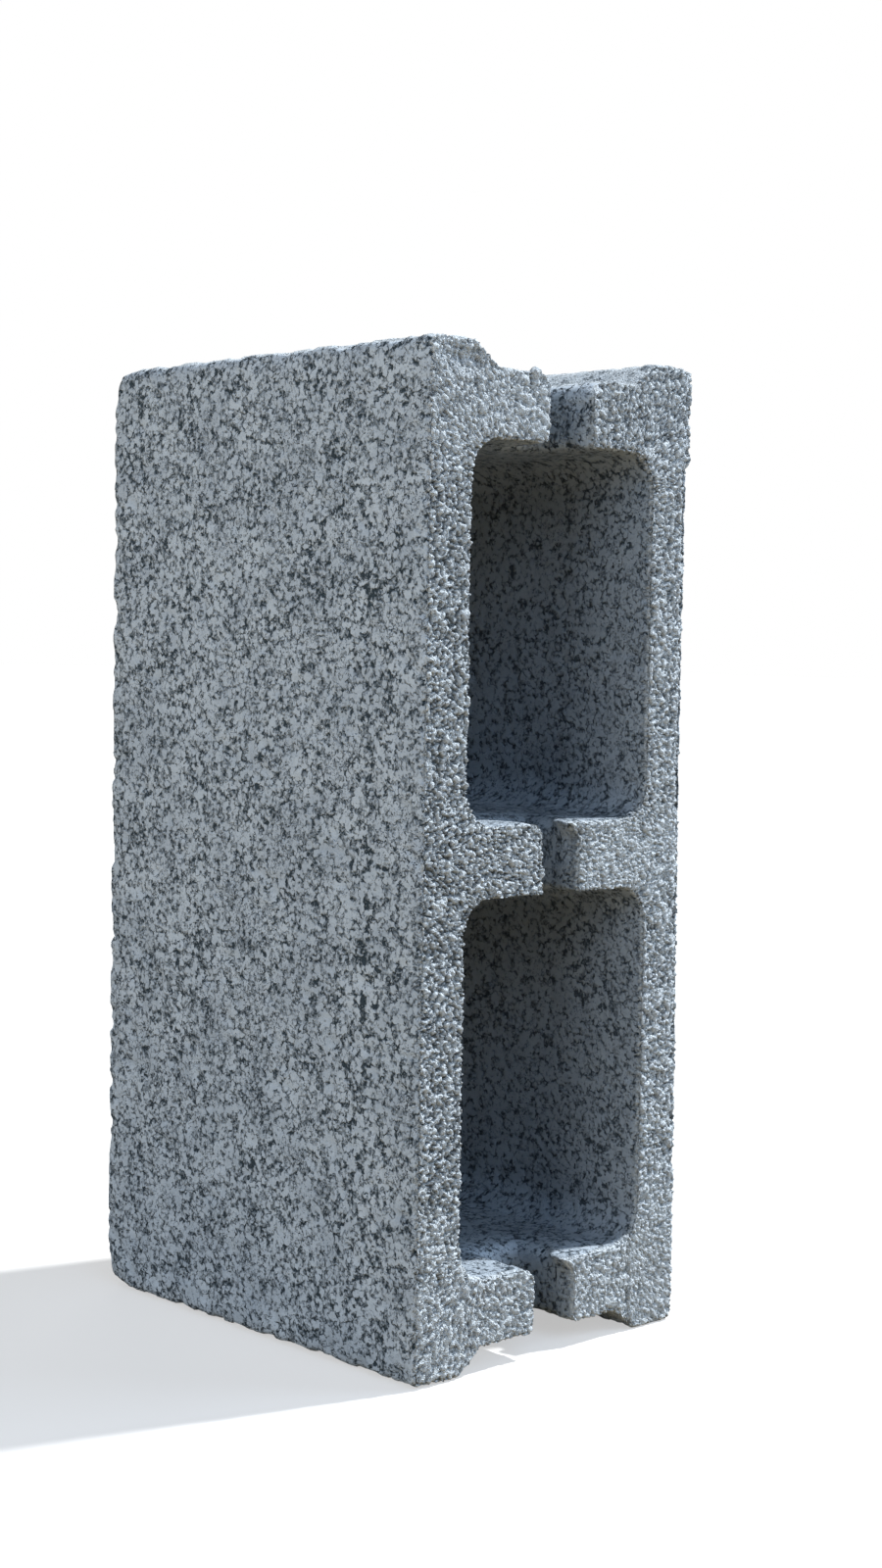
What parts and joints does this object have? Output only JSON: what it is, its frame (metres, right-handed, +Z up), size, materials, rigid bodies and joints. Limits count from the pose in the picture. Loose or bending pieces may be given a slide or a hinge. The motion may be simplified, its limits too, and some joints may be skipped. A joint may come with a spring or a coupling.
{
  "type": "hollow concrete building block",
  "caption": "Hollow concrete block with drafted cores, bar slots across its webs and eared, recessed ends, stood on its end.",
  "frame": {"origin": "on the ground, under the middle of the block as it stands on its two lower ears", "axes": "+Z up along the block's 400 mm length; X across its 150 mm width; -Y out of the struck bed face with the bar slots"},
  "size_m": [0.15, 0.2, 0.4],
  "materials": {
    "concrete": "raw vibro-pressed concrete, open-textured and matt"
  },
  "bodies": {
    "root": {"block": "concrete"}
  },
  "joints": []
}
